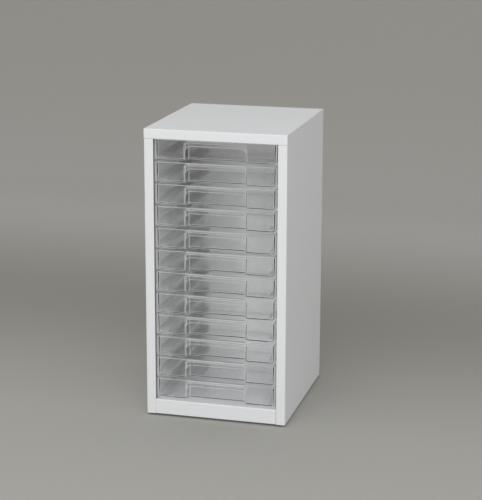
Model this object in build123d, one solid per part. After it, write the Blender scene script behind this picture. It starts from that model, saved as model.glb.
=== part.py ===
from build123d import *
import os
from math import radians, tan

# A free-standing cabinet of folded steel sheet with an open front and one column of
# shallow clear drawers for loose sheets of paper. X runs across the front, Y from the
# front to the back and Z up. The origin is on the ground, under the cabinet's middle.

# Steel body
body_width = 285.0
body_depth = 325.0
body_height = 580.0
sheet = 1.0                 # thickness of every folded panel
bend = 0.6                  # inside radius of a fold
stile_width = 18.5          # upright face at each side of the open front
stile_return = 3.0          # the stile's edge, folded back into the cabinet
top_rail_height = 19.5      # face above the drawers
top_rail_return = 12.0
sill_height = 30.5          # face below the drawers
sill_return = 12.0
sill_roll = 2.4             # outside radius where the sill turns into the floor
rear_flange = 14.0          # borders that hold the back panel
floor_rear_flange = 18.0
top_flange = 14.0           # side panel's fold under the top
foot_flange = 36.0          # side panel's fold that carries the feet
flange_end_gap = 15.0       # the two folds above stop short of the front and back
liner_setback = 13.0        # from the cabinet's front to the inner wall's front edge
seam = 0.2                  # gap between two panels that meet edge to edge

# Feet
foot_height = 4.0
foot_radius = 10.0
foot_inset = 24.0           # from the cabinet's side to the foot's middle
foot_end_inset = 34.0       # from its front or back to the foot's middle

# Runners, one pair below each drawer and one pair above the top drawer
drawer_count = 12
ledge_width = 21.0          # from the stile's inner edge to the ledge's inner edge
ledge_rise = 5.0            # ledge's top above the line between two drawers
ledge_lip_gap = 0.8         # the inner lip stops this far above that line
runner_web_height = 10.0
runner_setback = 20.0       # front end behind the cabinet's front
stop_height = 8.0
stop_width = 9.0
stop_inset = 4.0            # from the ledge's inner edge
stop_gap = 0.3

# Clear drawers
front_setback = 4.0
front_thickness = 2.2
front_side_gap = 3.0        # between a drawer's front and the stile
front_top_gap = 0.6         # below the line between two drawers
front_corner_bevel = 1.0
tray_side_gap = 5.4         # between the stile's inner edge and the tray's rim
tray_rear_gap = 3.0         # between the tray's rim and the back panel
tray_wall = 2.0
tray_floor = 2.0
tray_draft = 1.0            # degrees
tray_corner_radius = 6.0    # at the rim
tray_foot_bevel = 2.5       # outside, where the walls meet the floor

# Finger pull in the middle of a drawer's front
pull_width = 122.0
pull_depth = 12.0
pull_ceiling_drop = 4.5     # from the drawer's top to the recess's ceiling
pull_corner_radius = 4.5
pull_side_taper = 4.0       # each side comes in this far at the back
lip_height = 12.0           # clear strip that hangs in front of the recess
lip_end_radius = 11.0
lip_edge_bevel = 0.8

fold = sheet + bend
front = -body_depth / 2
back = body_depth / 2
side = body_width / 2
base = foot_height
top = base + body_height
opening_half = side - stile_width
opening_bottom = base + sill_height
opening_top = top - top_rail_height
back_face = back - 2 * sheet            # the back panel's inner face
liner_face = opening_half + sheet       # in line with the outside of the stile's return
pitch = (opening_top - opening_bottom) / drawer_count

front_face = front + front_setback
front_half = opening_half - front_side_gap
tray_bottom = ledge_rise                # above the line below the drawer
tray_top = pitch - front_top_gap
tray_height = tray_top - tray_bottom
tray_rear = back_face - tray_rear_gap


def block(x, y, z):
    """A box given by its lowest and highest coordinate along each axis."""
    middle = [(low + high) / 2 for low, high in (x, y, z)]
    size = [high - low for low, high in (x, y, z)]
    return Pos(*middle) * Box(*size)


def folded(points, radii):
    """Section of a folded sheet: the line through the points, thickened to its right."""
    line = FilletPolyline(*points, radius=radii)
    return make_face(offset(line, amount=sheet, side=Side.RIGHT).edges())


def upright(sketch, y):
    """The sketch stood across the cabinet at the depth y, its own Y pointing up."""
    return Plane.XZ.offset(-y) * sketch


def slab(sketch, near, far):
    """The upright sketch made solid between two depths."""
    return extrude(upright(sketch, far), amount=far - near)


def mirrored(solid):
    return mirror(solid, about=Plane.YZ)


def top_panel():
    section = folded(
        [
            (front + top_rail_return, opening_top),
            (front, opening_top),
            (front, top),
            (back, top),
            (back, top - rear_flange),
        ],
        fold,
    )
    panel = extrude(Plane.YZ * section, amount=side, both=True)
    # The side panels' outer walls pass the ends of the front return.
    notch = block(
        (side - sheet, side),
        (front + fold, front + top_rail_return),
        (opening_top, opening_top + sheet),
    )
    return panel - notch - mirrored(notch)


def floor_pan():
    """Sill and raised floor in one sheet, let in between the two stiles."""
    section = folded(
        [
            (front + sill_return, base),
            (front, base),
            (front, opening_bottom),
            (back_face, opening_bottom),
            (back_face, opening_bottom - floor_rear_flange),
        ],
        [fold, sill_roll, fold],
    )
    return extrude(Plane.YZ * section, amount=opening_half - seam, both=True)


def back_panel():
    half = side - fold
    return block((-half, half), (back_face, back_face + sheet), (base, top - fold))


def side_panel():
    """Right-hand side: outer wall, stile and its return, rear border and two flanges."""
    section = folded(
        [
            (side - rear_flange, back),
            (side, back),
            (side, front),
            (opening_half, front),
            (opening_half, front + stile_return),
        ],
        fold,
    )
    panel = Pos(0, 0, base) * extrude(section, amount=body_height - sheet)
    along = (front + flange_end_gap, back - flange_end_gap)
    panel += block((side - top_flange, side - sheet / 2), along, (top - 2 * sheet, top - sheet))
    panel += block((side - foot_flange, side - sheet / 2), along, (base, base + sheet))
    # The top panel's front and rear folds take the place of these corners.
    panel -= block((0, side), (front, front + fold), (opening_top, top))
    panel -= block((0, side - fold), (front, front + flange_end_gap), (opening_top, top))
    return panel - block((0, side), (back - fold, back), (top - rear_flange - seam, top))


def liner():
    """Right-hand inner wall, which carries the runners."""
    section = folded(
        [
            (liner_face, front + liner_setback),
            (liner_face, back_face),
            (side - sheet, back_face),
        ],
        fold,
    )
    low = base + sheet
    return Pos(0, 0, low) * extrude(section, amount=top - 2 * sheet - low)


def runner(with_stop=True):
    """Right-hand runner above the line at z = 0: web, ledge, inner lip and rear stop."""
    inner = opening_half - ledge_width
    ledge_under = ledge_rise - sheet
    web_top = ledge_rise + runner_web_height
    section = make_face(
        Polyline(
            (liner_face, web_top),
            (liner_face, ledge_under),
            (inner + sheet, ledge_under),
            (inner + sheet, ledge_lip_gap),
            (inner, ledge_lip_gap),
            (inner, ledge_rise),
            (liner_face - sheet, ledge_rise),
            (liner_face - sheet, web_top),
            close=True,
        )
    )
    stop_face = tray_rear + stop_gap
    rail = slab(section, front + runner_setback, stop_face + sheet)
    if with_stop:
        rail += block(
            (inner + stop_inset, inner + stop_inset + stop_width),
            (stop_face, stop_face + sheet),
            (ledge_under, ledge_rise + stop_height),
        )
    return rail


def tray_plan(inset, near):
    """The tray's rim in plan, drawn in by the inset, its two rear corners rounded."""
    half = opening_half - tray_side_gap - inset
    far = tray_rear - inset
    outline = Pos(0, (near + far) / 2) * Rectangle(2 * half, far - near)
    return fillet(outline.vertices().group_by(Axis.Y)[-1], tray_corner_radius - inset)


def tray_solid(inset, near, low, bevel):
    """The rim's plan, drawn in by the inset, carried down leaning sides to a bevelled floor."""
    lean = (tray_top - low - bevel) * tan(radians(tray_draft))
    levels = [(low, lean + bevel), (low + bevel, lean), (tray_top, 0)]
    plans = [Pos(0, 0, z) * tray_plan(inset + drawn_in, near) for z, drawn_in in levels]
    return loft([plan.face() for plan in plans], ruled=True)


def tray_shell():
    """Open tray with leaning walls and rounded corners, still without its front."""
    plate_back = front_face + front_thickness
    outside = tray_solid(0, plate_back - front_thickness / 2, tray_bottom, tray_foot_bevel)
    inner_bevel = tray_foot_bevel - tray_floor / 2
    return outside - tray_solid(tray_wall, plate_back, tray_bottom + tray_floor, inner_bevel)


def arch(width, ceiling, radius):
    """Upright outline with two rounded upper corners, open past the drawer's bottom."""
    low = tray_bottom - ledge_rise
    outline = Pos(0, (low + ceiling) / 2) * Rectangle(width, ceiling - low)
    return fillet(outline.vertices().group_by(Axis.Y)[-1], radius)


def pull_block(grow, near, far):
    """The finger recess as a solid, or its clear shell when grown by a wall."""
    ceiling = tray_top - pull_ceiling_drop + grow
    radius = pull_corner_radius + grow
    mouth = arch(pull_width + 2 * grow, ceiling, radius)
    floor = arch(pull_width + 2 * grow - 2 * pull_side_taper, ceiling, radius)
    return loft([upright(mouth, near).face(), upright(floor, far).face()], ruled=True)


def drawer():
    """Clear tray above the line at z = 0, with the finger pull moulded into its front."""
    plate_back = front_face + front_thickness
    recess_floor = front_face + pull_depth
    outline = Pos(0, (tray_bottom + tray_top) / 2) * Rectangle(2 * front_half, tray_height)
    plate = slab(chamfer(outline.vertices(), front_corner_bevel), front_face, plate_back)
    housing = pull_block(tray_wall, plate_back, recess_floor + tray_wall)
    housing -= block(
        (-pull_width, pull_width),
        (front_face, recess_floor + 2 * tray_wall),
        (-pitch, tray_bottom),
    )
    window = arch(pull_width, tray_top - lip_height, lip_end_radius)
    body = tray_shell() + plate + housing - pull_block(0, plate_back, recess_floor)
    return eased_window(body - slab(window, front_face, plate_back))


def eased_window(body):
    """Bevels the window's front edge, where fingers reach in under the lip."""
    rim = body.edges().group_by(Axis.Y)[0].filter_by_position(
        Axis.X, -pull_width / 2, pull_width / 2
    )
    rim = rim.filter_by_position(
        Axis.Z, tray_bottom, tray_top - lip_height, inclusive=(False, True)
    )
    return chamfer(rim, lip_edge_bevel)


def foot_places(sign):
    x = sign * (side - foot_inset)
    return [(x, front + foot_end_inset), (x, back - foot_end_inset)]


def foot():
    """Rubber pad, stuck under the side panel's flange."""
    return Pos(0, 0, base / 2) * Cylinder(foot_radius, base)


def build():
    parts = {
        "top_panel": top_panel(),
        "floor_pan": floor_pan(),
        "back_panel": back_panel(),
    }
    for name, solid in (("side_panel", side_panel()), ("liner", liner())):
        parts["right_" + name] = solid
        parts["left_" + name] = mirrored(solid)

    rubber = foot()
    for hand, sign in (("left", -1), ("right", 1)):
        for end, (x, y) in zip(("front", "rear"), foot_places(sign)):
            parts[f"foot_{end}_{hand}"] = Pos(x, y, 0) * rubber

    guide = Pos(0, 0, opening_top) * runner(with_stop=False)
    parts["right_top_guide"] = guide
    parts["left_top_guide"] = mirrored(guide)

    rail = runner()
    tray = drawer()
    for number in range(1, drawer_count + 1):
        level = Pos(0, 0, opening_top - number * pitch)
        parts[f"right_runner_{number:02d}"] = level * rail
        parts[f"left_runner_{number:02d}"] = level * mirrored(rail)
        parts[f"drawer_{number:02d}"] = level * tray
    return parts


os.makedirs("parts", exist_ok=True)
for node, solid in build().items():
    export_step(solid, f"parts/{node}.step")
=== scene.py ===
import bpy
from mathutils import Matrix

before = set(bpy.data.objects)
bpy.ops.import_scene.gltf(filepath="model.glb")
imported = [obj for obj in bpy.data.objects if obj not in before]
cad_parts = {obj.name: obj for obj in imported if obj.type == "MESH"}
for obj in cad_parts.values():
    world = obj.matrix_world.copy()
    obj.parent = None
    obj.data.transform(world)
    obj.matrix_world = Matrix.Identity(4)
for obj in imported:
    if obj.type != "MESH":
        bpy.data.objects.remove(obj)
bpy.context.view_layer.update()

import math

import bpy
from mathutils import Quaternion, Vector

bl_info = {
    "name": "Sheet Paper Drawer Cabinet",
    "version": (1, 0, 0),
    "blender": (4, 5, 0),
    "location": "3D View > Sidebar > Paper Cabinet",
    "description": "Finishes a white steel cabinet with clear drawers and sets it in a studio",
    "category": "Object",
}

PHOTO_LONG_SIDE = 500.0     # pixels
SENSOR_WIDTH = 36.0         # millimetres, Blender's unit for a sensor
MM = 0.001

# Noise patterns, in waves per metre
PAINT_CLOUDS = 14.0
PLASTIC_HAZE = 60.0
RUBBER_GRAIN = 1800.0
RUBBER_DUST = 90.0
PAPER_GRAIN = 700.0
GRAIN_DEPTH = 0.05 * MM

# Shades of the finishes
INNER_PAINTED_SHADE = 0.76          # the coat on the inner walls, against the coat outside: painted shade for the shade that falls inside the cabinet
PAINT_CLOUD_SHADE = 0.965   # the darkest cloud in the coat, against the lightest
RUBBER_DUST_SHADE = 2.2     # dusty rubber, against clean rubber
PAINT_REFRACTION = 1.5
# White of the matt band along the drawers' moulded edges: a painted highlight for their bright
# rims, partly the satin faces of the mould
FROST_HIGHLIGHT_COLOUR = (0.95, 0.96, 0.96, 1.0)
FROST_HIGHLIGHT_GAIN = 8.0            # how quickly the white edge band grows where a face turns at an edge; the band is a painted highlight on the rims, partly their satin finish
WHITE = (1.0, 1.0, 1.0, 1.0)

# Depths along Y, in metres, between which the paper's tone changes: painted shade on the floor
# near and behind the cabinet, then painted light at the bend
FLOOR_SHADE_START, FLOOR_SHADE_END = -0.25, 0.6
BEND_END = 1.6
WALL_END = 2.9

# The paper sweep's reach, and the number of steps in its bend
SWEEP_NEAR, SWEEP_FAR, SWEEP_HEIGHT = -7.0, 3.2, 5.0
SWEEP_STEPS = 24

# Lamps: place, then width and height, in metres
LAMP_TARGET = (0.0, 0.0, 0.3)
FRONT_LAMP = ((0.3, -3.2, 0.95), (2.8, 1.8))
HIGH_LAMP = ((0.2, -2.0, 2.6), (2.6, 1.6))

# Most turns a ray of light may take. Twelve clear drawers need many.
ALL_BOUNCES = 40
CLEAR_BOUNCES = 36
OPEN_BOUNCES = 48
GLOSSY_BOUNCES = 8


# ---------------------------------------------------------------------------
# Shader building
# ---------------------------------------------------------------------------


class Term:
    """A number carried by a socket, which can be used in a written sum."""

    def __init__(self, tree, socket):
        self.tree = tree
        self.socket = socket

    def combined(self, operation, first, second):
        node = self.tree.nodes.new("ShaderNodeMath")
        node.operation = operation
        for value, target in zip((first, second), node.inputs):
            if isinstance(value, Term):
                self.tree.links.new(value.socket, target)
            else:
                target.default_value = value
        return Term(self.tree, node.outputs[0])

    def __add__(self, other):
        return self.combined("ADD", self, other)

    def __radd__(self, other):
        return self.combined("ADD", other, self)

    def __sub__(self, other):
        return self.combined("SUBTRACT", self, other)

    def __rsub__(self, other):
        return self.combined("SUBTRACT", other, self)

    def __mul__(self, other):
        return self.combined("MULTIPLY", self, other)

    def __rmul__(self, other):
        return self.combined("MULTIPLY", other, self)


class Finish:
    """A material being written: every node but a sum comes from its one method, node."""

    def __init__(self, name):
        self.material = bpy.data.materials.new(name)
        self.material.use_nodes = True
        self.tree = self.material.node_tree
        self.tree.nodes.clear()

    def node(self, kind, settings=None, output=0, **sockets):
        """Adds a node, sets its settings and then its sockets, and returns one output."""
        made = self.tree.nodes.new(kind)
        for name, value in (settings or {}).items():
            setattr(made, name, value)
        for name, value in sockets.items():
            target = self.find(made.inputs, name)
            if isinstance(value, Term):
                self.tree.links.new(value.socket, target)
            else:
                target.default_value = value
        return Term(self.tree, self.find(made.outputs, output)) if made.outputs else None

    @staticmethod
    def find(sockets, name):
        """A socket by its number, or by its name with _ for each space."""
        if isinstance(name, int) or name.isdigit():
            return sockets[int(name)]
        wanted = name.replace("_", " ").lower()
        return next(s for s in sockets if s.enabled and s.name.lower() == wanted)

    def place(self):
        """Position on the object in metres, in the cabinet's own frame."""
        return self.node("ShaderNodeTexCoord", output="Object")

    def noise(self, scale, detail=2.0, roughness=0.5):
        return self.node(
            "ShaderNodeTexNoise",
            output="Fac",
            Vector=self.place(),
            Scale=scale,
            Detail=detail,
            Roughness=roughness,
        )

    def eased(self, value, start, end):
        """0 before the start and 1 after the end, with a smooth change between them."""
        return self.node(
            "ShaderNodeMapRange",
            {"interpolation_type": "SMOOTHSTEP"},
            output="Result",
            Value=value,
            From_Min=start,
            From_Max=end,
        )

    def between(self, factor, low, high):
        """A colour between two colours."""
        first, second = (c if isinstance(c, Term) else (*c, 1.0) for c in (low, high))
        return self.node(
            "ShaderNodeMix", {"data_type": "RGBA"}, "Result", Factor=factor, A=first, B=second
        )

    def mixed(self, factor, first, second):
        """One shader where the factor is 0 and the other where it is 1."""
        return self.node("ShaderNodeMixShader", **{"0": factor, "1": first, "2": second})

    def clamped(self, value):
        return self.node("ShaderNodeClamp", Value=value)

    def bump(self, height, distance, strength=1.0):
        return self.node(
            "ShaderNodeBump", output="Normal", Height=height, Distance=distance, Strength=strength
        )

    def finished(self, surface):
        self.node("ShaderNodeOutputMaterial", Surface=surface)
        return self.material


# ---------------------------------------------------------------------------
# Sizes and colours that a user would change
# ---------------------------------------------------------------------------


class PaintSettings(bpy.types.PropertyGroup):
    # The inner walls take this colour darkened, a painted shade for the shade that falls inside
    # the cabinet
    colour: bpy.props.FloatVectorProperty(
        name="Paint colour",
        description="Colour of the powder coat outside. The inner walls are a little darker",
        subtype="COLOR",
        default=(0.845, 0.856, 0.874),
        min=0.0,
        max=1.0,
    )
    roughness: bpy.props.FloatProperty(
        name="Paint roughness",
        description="How dull the powder coat is",
        subtype="FACTOR",
        default=0.42,
        min=0.0,
        max=1.0,
    )
    peel_size: bpy.props.FloatProperty(
        name="Orange peel size",
        description="Distance between the small waves that a powder coat dries with",
        unit="LENGTH",
        default=1.6 * MM,
    )
    peel_depth: bpy.props.FloatProperty(
        name="Orange peel depth",
        description="Height of those small waves",
        unit="LENGTH",
        default=0.02 * MM,
    )


class PlasticSettings(bpy.types.PropertyGroup):
    colour: bpy.props.FloatVectorProperty(
        name="Plastic colour",
        description="Tint of the clear drawers",
        subtype="COLOR",
        default=(0.993, 0.996, 0.995),
        min=0.0,
        max=1.0,
    )
    roughness: bpy.props.FloatProperty(
        name="Plastic roughness",
        description="How blurred the drawers' polished faces are",
        subtype="FACTOR",
        default=0.03,
        min=0.0,
        max=1.0,
    )
    refraction: bpy.props.FloatProperty(
        name="Refractive index",
        description="How strongly the clear plastic bends light",
        default=1.59,
        min=1.0,
        max=2.5,
    )
    # The matt white band along the moulded edges is a painted highlight for the bright rims,
    # partly their satin finish
    edge_width: bpy.props.FloatProperty(
        name="Frosted edge width",
        description="How far the matt, light-catching band reaches in from a moulded edge",
        unit="LENGTH",
        default=3.2 * MM,
    )
    edge_strength: bpy.props.FloatProperty(
        name="Frosted edge strength",
        description="How white the matt band along the edges is",
        subtype="FACTOR",
        default=0.9,
        min=0.0,
        max=1.0,
    )
    wave_size: bpy.props.FloatProperty(
        name="Flow wave size",
        description="Distance between the soft waves left by moulding",
        unit="LENGTH",
        default=22.0 * MM,
    )
    wave_depth: bpy.props.FloatProperty(
        name="Flow wave depth",
        description="Height of those soft waves",
        unit="LENGTH",
        default=0.02 * MM,
    )


class RubberSettings(bpy.types.PropertyGroup):
    colour: bpy.props.FloatVectorProperty(
        name="Rubber colour",
        description="Colour of the four feet",
        subtype="COLOR",
        default=(0.022, 0.022, 0.022),
        min=0.0,
        max=1.0,
    )


class StudioSettings(bpy.types.PropertyGroup):
    floor_colour: bpy.props.FloatVectorProperty(
        name="Floor colour",
        description="Colour of the paper sweep in front of the cabinet",
        subtype="COLOR",
        default=(0.425, 0.42, 0.393),
        min=0.0,
        max=1.0,
    )
    # The floor near and behind the cabinet is darkened as painted shade, and the bend lightened
    # as painted light
    floor_shade_colour: bpy.props.FloatVectorProperty(
        name="Floor colour behind",
        description="Colour of the paper sweep just behind the cabinet, where it is darkest",
        subtype="COLOR",
        default=(0.318, 0.309, 0.284),
        min=0.0,
        max=1.0,
    )
    bend_light_colour: bpy.props.FloatVectorProperty(
        name="Bend colour",
        description="Colour of the paper sweep where it starts to rise, where it is lightest",
        subtype="COLOR",
        default=(0.488, 0.476, 0.45),
        min=0.0,
        max=1.0,
    )
    wall_colour: bpy.props.FloatVectorProperty(
        name="Backdrop colour",
        description="Colour of the upper part of the paper sweep",
        subtype="COLOR",
        default=(0.4, 0.386, 0.36),
        min=0.0,
        max=1.0,
    )
    sweep_width: bpy.props.FloatProperty(
        name="Sweep width",
        description="Width of the paper sweep",
        unit="LENGTH",
        default=9.0,
    )
    sweep_radius: bpy.props.FloatProperty(
        name="Sweep radius",
        description="Radius of the bend between the floor and the backdrop",
        unit="LENGTH",
        default=1.4,
    )
    front_power: bpy.props.FloatProperty(
        name="Front lamp power",
        description="Power of the wide soft lamp in front of the cabinet",
        unit="POWER",
        default=22.5,
    )
    high_power: bpy.props.FloatProperty(
        name="High lamp power",
        description="Power of the soft lamp above and in front of the cabinet",
        unit="POWER",
        default=17.5,
    )
    room_light: bpy.props.FloatProperty(
        name="Room light",
        description="Brightness of the even light from all round",
        default=0.7,
        min=0.0,
    )
    camera_place: bpy.props.FloatVectorProperty(
        name="Camera place",
        description="Where the camera stands",
        subtype="TRANSLATION",
        default=(0.80499, -2.99444, 1.10523),
    )
    camera_azimuth: bpy.props.FloatProperty(
        name="Camera azimuth",
        description="How far the camera stands round to the right of the front",
        subtype="ANGLE",
        default=math.radians(14.884),
    )
    camera_elevation: bpy.props.FloatProperty(
        name="Camera elevation",
        description="How far the camera looks down",
        subtype="ANGLE",
        default=math.radians(14.351),
    )
    camera_roll: bpy.props.FloatProperty(
        name="Camera roll",
        description="How far the camera is turned about its own line of sight",
        subtype="ANGLE",
        default=math.radians(0.13),
    )
    focal_pixels: bpy.props.FloatProperty(
        name="Focal length in pixels",
        description="Camera's focal length, in pixels of a picture 500 pixels high",
        default=1565.4,
    )


SETTINGS = {
    "cabinet_paint": PaintSettings,
    "cabinet_plastic": PlasticSettings,
    "cabinet_rubber": RubberSettings,
    "cabinet_studio": StudioSettings,
}


# ---------------------------------------------------------------------------
# Finishes
# ---------------------------------------------------------------------------


def powder_coat(name, paint, painted_shade_factor=1.0):
    """Satin white powder coat: fine orange peel, faint cloudiness in tone and gloss."""
    finish = Finish(name)
    cloud = finish.noise(PAINT_CLOUDS, detail=4.0, roughness=0.6)
    peel = finish.noise(1.0 / paint.peel_size, detail=1.0)
    speck = finish.noise(4.0 / paint.peel_size, detail=0.0)
    # A factor below 1 darkens the whole coat: painted shade, used for the inner walls
    light = tuple(painted_shade_factor * part for part in paint.colour)
    dark = tuple(PAINT_CLOUD_SHADE * part for part in light)
    surface = finish.node(
        "ShaderNodeBsdfPrincipled",
        Base_Color=finish.between(cloud, dark, light),
        Roughness=paint.roughness - 0.05 + 0.1 * cloud + 0.04 * speck,
        IOR=PAINT_REFRACTION,
        Normal=finish.bump(peel + 0.2 * speck, paint.peel_depth),
    )
    return finish.finished(surface)


def clear_styrene(name, plastic):
    """Clear moulded plastic which lets the lamps' light pass, with a matt white band painted
    along its edges as a highlight on the rims, partly their satin finish.
    """
    finish = Finish(name)
    wave = finish.noise(1.0 / plastic.wave_size, detail=1.5)
    haze = finish.noise(PLASTIC_HAZE, detail=3.0)
    glass = finish.node(
        "ShaderNodeBsdfPrincipled",
        Base_Color=(*plastic.colour, 1.0),
        Roughness=plastic.roughness * (0.6 + 0.8 * haze),
        IOR=plastic.refraction,
        Transmission_Weight=1.0,
        Normal=finish.bump(wave, plastic.wave_depth),
    )
    # Matt white along every edge the bevel finds: a painted highlight for the bright rims, partly
    # the satin faces of the moulded edges
    frost_highlight = finish.mixed(
        0.5,
        finish.node("ShaderNodeBsdfDiffuse", Color=FROST_HIGHLIGHT_COLOUR),
        finish.node("ShaderNodeBsdfTranslucent", Color=FROST_HIGHLIGHT_COLOUR),
    )
    turned = finish.node(
        "ShaderNodeVectorMath",
        {"operation": "DOT_PRODUCT"},
        "Value",
        **{
            "0": finish.node("ShaderNodeBevel", {"samples": 6}, Radius=plastic.edge_width),
            "1": finish.node("ShaderNodeNewGeometry", output="Normal"),
        },
    )
    edge = finish.clamped(FROST_HIGHLIGHT_GAIN * (1.0 - turned)) * plastic.edge_strength
    body = finish.mixed(edge, glass, frost_highlight)
    open_air = finish.node("ShaderNodeBsdfTransparent", Color=WHITE)
    shadow = finish.node("ShaderNodeLightPath", output="Is Shadow Ray")
    diffuse = finish.node("ShaderNodeLightPath", output="Is Diffuse Ray")
    return finish.finished(finish.mixed(shadow + diffuse, body, open_air))


def moulded_rubber(name, rubber):
    """Dull black rubber with a fine moulded grain."""
    finish = Finish(name)
    grain = finish.noise(RUBBER_GRAIN, detail=3.0)
    dust = finish.noise(RUBBER_DUST, detail=4.0)
    pale = tuple(RUBBER_DUST_SHADE * part for part in rubber.colour)
    surface = finish.node(
        "ShaderNodeBsdfPrincipled",
        Base_Color=finish.between(dust, rubber.colour, pale),
        Roughness=0.7 + 0.2 * grain,
        Normal=finish.bump(grain, GRAIN_DEPTH),
    )
    return finish.finished(surface)


def paper_sweep(name, studio):
    """Matt studio paper, with painted shade making it darkest on the floor behind the cabinet and
    painted light making it lightest at its bend.
    """
    finish = Finish(name)
    depth = finish.node("ShaderNodeSeparateXYZ", output="Y", Vector=finish.place())
    # Painted shade on the floor near and behind the cabinet
    floor_shade = finish.eased(depth, FLOOR_SHADE_START, FLOOR_SHADE_END)
    tone = finish.between(floor_shade, studio.floor_colour, studio.floor_shade_colour)
    # Painted light where the sweep starts to rise
    bend = finish.eased(depth, FLOOR_SHADE_END, BEND_END)
    tone = finish.between(bend, tone, studio.bend_light_colour)
    wall = finish.eased(depth, BEND_END, WALL_END)
    tone = finish.between(wall, tone, studio.wall_colour)
    grain = finish.noise(PAPER_GRAIN, detail=2.0)
    surface = finish.node(
        "ShaderNodeBsdfPrincipled",
        Base_Color=tone,
        Roughness=0.85 + 0.1 * grain,
        Specular_IOR_Level=0.2,
        Normal=finish.bump(grain, GRAIN_DEPTH),
    )
    return finish.finished(surface)


def dress(names, material):
    """Gives every named part of the frame the material."""
    for name in names:
        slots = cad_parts[name].data.materials
        slots.clear()
        slots.append(material)


def named(*words):
    """Names of the frame's parts that hold one of the words."""
    found = [name for name in sorted(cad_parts) if any(word in name for word in words)]
    if not found:
        raise RuntimeError(f"the cabinet has no part named after {words}")
    return found


# ---------------------------------------------------------------------------
# Studio
# ---------------------------------------------------------------------------


def sweep_profile(radius, near, far, height, steps):
    """Floor line, quarter bend and upright line, as (y, z) points."""
    bend = [
        (far - radius + radius * math.sin(turn), radius - radius * math.cos(turn))
        for turn in (math.pi / 2 * step / steps for step in range(steps + 1))
    ]
    return [(near, 0.0), *bend, (far, height)]


def build_sweep(studio):
    """One sheet of paper that is the floor and, past a wide bend, the backdrop."""
    profile = sweep_profile(
        studio.sweep_radius, SWEEP_NEAR, SWEEP_FAR, SWEEP_HEIGHT, SWEEP_STEPS
    )
    half = studio.sweep_width / 2
    points = [(x, y, z) for y, z in profile for x in (-half, half)]
    faces = [(2 * i, 2 * i + 1, 2 * i + 3, 2 * i + 2) for i in range(len(profile) - 1)]
    mesh = bpy.data.meshes.new("paper_sweep")
    mesh.from_pydata(points, [], faces)
    mesh.polygons.foreach_set("use_smooth", [True] * len(faces))
    sweep = bpy.data.objects.new("paper_sweep", mesh)
    bpy.context.scene.collection.objects.link(sweep)
    mesh.materials.append(paper_sweep("studio_paper", studio))


def soft_lamp(name, place, size, power):
    """A rectangular lamp that faces the cabinet."""
    lamp = bpy.data.lights.new(name, "AREA")
    lamp.shape = "RECTANGLE"
    lamp.size, lamp.size_y = size
    lamp.energy = power
    stand = bpy.data.objects.new(name, lamp)
    stand.location = place
    direction = Vector(LAMP_TARGET) - Vector(place)
    stand.rotation_mode = "QUATERNION"
    stand.rotation_quaternion = direction.to_track_quat("-Z", "Y")
    bpy.context.scene.collection.objects.link(stand)


def room_light(strength):
    """Even white light from all round."""
    world = bpy.data.worlds.new("studio_room")
    world.use_nodes = True
    background = world.node_tree.nodes["Background"]
    background.inputs["Color"].default_value = WHITE
    background.inputs["Strength"].default_value = strength
    bpy.context.scene.world = world


def set_camera(studio):
    """Puts the camera where the photograph was taken from."""
    camera = bpy.data.cameras.new("photo_camera")
    camera.sensor_width = SENSOR_WIDTH
    camera.lens = studio.focal_pixels * camera.sensor_width / PHOTO_LONG_SIDE
    camera.clip_end = 50.0
    stand = bpy.data.objects.new("photo_camera", camera)
    stand.location = studio.camera_place
    around, down = studio.camera_azimuth, studio.camera_elevation
    line = Vector(
        (
            -math.sin(around) * math.cos(down),
            math.cos(around) * math.cos(down),
            -math.sin(down),
        )
    )
    roll = Quaternion((0.0, 0.0, 1.0), studio.camera_roll)
    stand.rotation_mode = "QUATERNION"
    stand.rotation_quaternion = line.to_track_quat("-Z", "Y") @ roll
    bpy.context.scene.collection.objects.link(stand)
    bpy.context.scene.camera = stand


# ---------------------------------------------------------------------------
# Operators, panel and registration
# ---------------------------------------------------------------------------


class CABINET_OT_steel_body(bpy.types.Operator):
    """Powder-coat the folded panels of the body"""

    bl_idname = "cabinet.steel_body"
    bl_label = "Coat the Steel Body"

    def execute(self, context):
        paint = powder_coat("white_powder_coat", context.scene.cabinet_paint)
        dress(named("panel", "floor_pan"), paint)
        return {"FINISHED"}


class CABINET_OT_runners(bpy.types.Operator):
    """Coat the inner walls and the ledges on them a little darker than the outside, as painted
    shade for the shade inside the cabinet
    """

    bl_idname = "cabinet.runners"
    bl_label = "Coat the Inner Walls and Runners"

    def execute(self, context):
        paint = powder_coat("inner_powder_coat_painted_shade", context.scene.cabinet_paint, INNER_PAINTED_SHADE)
        dress(named("liner", "runner", "guide"), paint)
        return {"FINISHED"}


class CABINET_OT_drawers(bpy.types.Operator):
    """Make the drawers of clear moulded plastic"""

    bl_idname = "cabinet.drawers"
    bl_label = "Mould the Clear Drawers"

    def execute(self, context):
        plastic = clear_styrene("clear_styrene", context.scene.cabinet_plastic)
        dress(named("drawer"), plastic)
        return {"FINISHED"}


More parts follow.
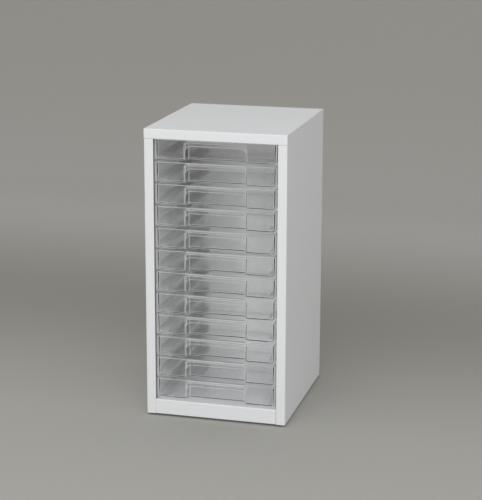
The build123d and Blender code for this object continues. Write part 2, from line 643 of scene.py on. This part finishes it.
class CABINET_OT_feet(bpy.types.Operator):
    """Make the feet of black rubber"""

    bl_idname = "cabinet.feet"
    bl_label = "Fit the Rubber Feet"

    def execute(self, context):
        dress(named("foot"), moulded_rubber("black_rubber", context.scene.cabinet_rubber))
        return {"FINISHED"}


class CABINET_OT_stage(bpy.types.Operator):
    """Set up the paper sweep, the soft lamps and the camera"""

    bl_idname = "cabinet.stage"
    bl_label = "Set Up the Studio"

    def execute(self, context):
        studio = context.scene.cabinet_studio
        build_sweep(studio)
        soft_lamp("front_lamp", *FRONT_LAMP, studio.front_power)
        soft_lamp("high_lamp", *HIGH_LAMP, studio.high_power)
        room_light(studio.room_light)
        set_camera(studio)
        scene = context.scene
        scene.view_settings.view_transform = "Standard"
        scene.cycles.max_bounces = ALL_BOUNCES
        scene.cycles.transmission_bounces = CLEAR_BOUNCES
        scene.cycles.transparent_max_bounces = OPEN_BOUNCES
        scene.cycles.glossy_bounces = GLOSSY_BOUNCES
        return {"FINISHED"}


OPERATORS = (
    CABINET_OT_steel_body,
    CABINET_OT_runners,
    CABINET_OT_drawers,
    CABINET_OT_feet,
    CABINET_OT_stage,
)


class CABINET_PT_sidebar(bpy.types.Panel):
    """Buttons for each piece, above the sizes and colours they use"""

    bl_idname = "CABINET_PT_sidebar"
    bl_label = "Paper Drawer Cabinet"
    bl_space_type = "VIEW_3D"
    bl_region_type = "UI"
    bl_category = "Paper Cabinet"

    def draw(self, context):
        for operator in OPERATORS:
            self.layout.operator(operator.bl_idname)
        for name, group in SETTINGS.items():
            box = self.layout.box()
            for setting in group.__annotations__:
                box.prop(getattr(context.scene, name), setting)


CLASSES = (*SETTINGS.values(), *OPERATORS, CABINET_PT_sidebar)


def register():
    for part in CLASSES:
        bpy.utils.register_class(part)
    for name, group in SETTINGS.items():
        setattr(bpy.types.Scene, name, bpy.props.PointerProperty(type=group))


def unregister():
    for name in SETTINGS:
        delattr(bpy.types.Scene, name)
    for part in reversed(CLASSES):
        bpy.utils.unregister_class(part)


def main():
    register()
    bpy.ops.cabinet.steel_body()
    bpy.ops.cabinet.runners()
    bpy.ops.cabinet.drawers()
    bpy.ops.cabinet.feet()
    bpy.ops.cabinet.stage()


if __name__ == "__main__":
    main()
